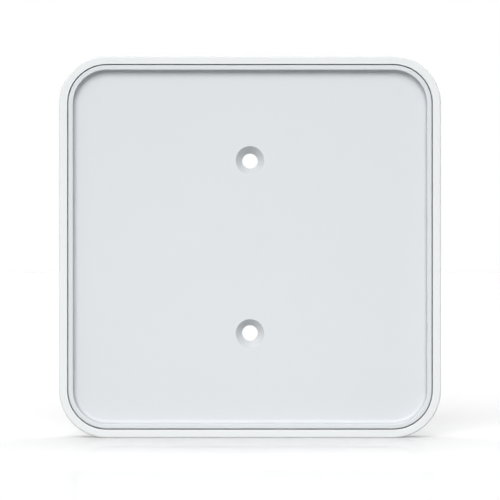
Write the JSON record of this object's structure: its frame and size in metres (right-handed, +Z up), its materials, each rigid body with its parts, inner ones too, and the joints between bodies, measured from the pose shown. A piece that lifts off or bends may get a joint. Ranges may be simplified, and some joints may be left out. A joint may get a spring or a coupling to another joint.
{
  "type": "access point mounting tray",
  "caption": "Square wall or ceiling mounting tray for an access point, with a shallow recess, countersunk screw holes, hidden magnets and a pull-off trim frame.",
  "frame": {"origin": "centre of the back face, on the wall plane, halfway between the two screw holes", "axes": "+X to the right seen from the room, +Y from the room into the wall or ceiling, +Z up along the line of the two screw holes; the recess faces the room along -Y"},
  "size_m": [0.12, 0.012, 0.12],
  "materials": {
    "frame_plastic": "fine satin white",
    "tray_plastic": "satin, very light cool grey",
    "back_plastic": "fine spark texture, light grey",
    "carrier_plastic": "glass-filled nylon, dark grey",
    "zinc_steel": "zinc-plated rolled steel",
    "sleeve_steel": "turned, zinc-plated",
    "screw_steel": "zinc-plated screw steel",
    "magnet_nickel": "bright nickel plate",
    "pad_rubber": "matte dark grey rubber"
  },
  "bodies": {
    "core": {"tray_plate": "tray_plastic", "magnet_carrier": "carrier_plastic", "back_plate": "back_plastic", "steel_plate": "zinc_steel", "magnet_top_left": "magnet_nickel", "magnet_top_right": "magnet_nickel", "magnet_bottom_left": "magnet_nickel", "magnet_bottom_right": "magnet_nickel", "screw_sleeve_top": "sleeve_steel", "screw_sleeve_bottom": "sleeve_steel", "assembly_screw_1": "screw_steel", "assembly_screw_2": "screw_steel", "assembly_screw_3": "screw_steel", "assembly_screw_4": "screw_steel", "assembly_screw_5": "screw_steel", "assembly_screw_6": "screw_steel", "assembly_screw_7": "screw_steel", "assembly_screw_8": "screw_steel", "rubber_pad_top_left": "pad_rubber", "rubber_pad_top_right": "pad_rubber", "rubber_pad_bottom_left": "pad_rubber", "rubber_pad_bottom_right": "pad_rubber"},
    "frame": {"outer_frame": "frame_plastic"}
  },
  "joints": [
    {"name": "frame_pull", "type": "slide", "parent": "core", "child": "frame", "axis": [0, -1, 0], "range_m": [0, 0.02]}
  ]
}
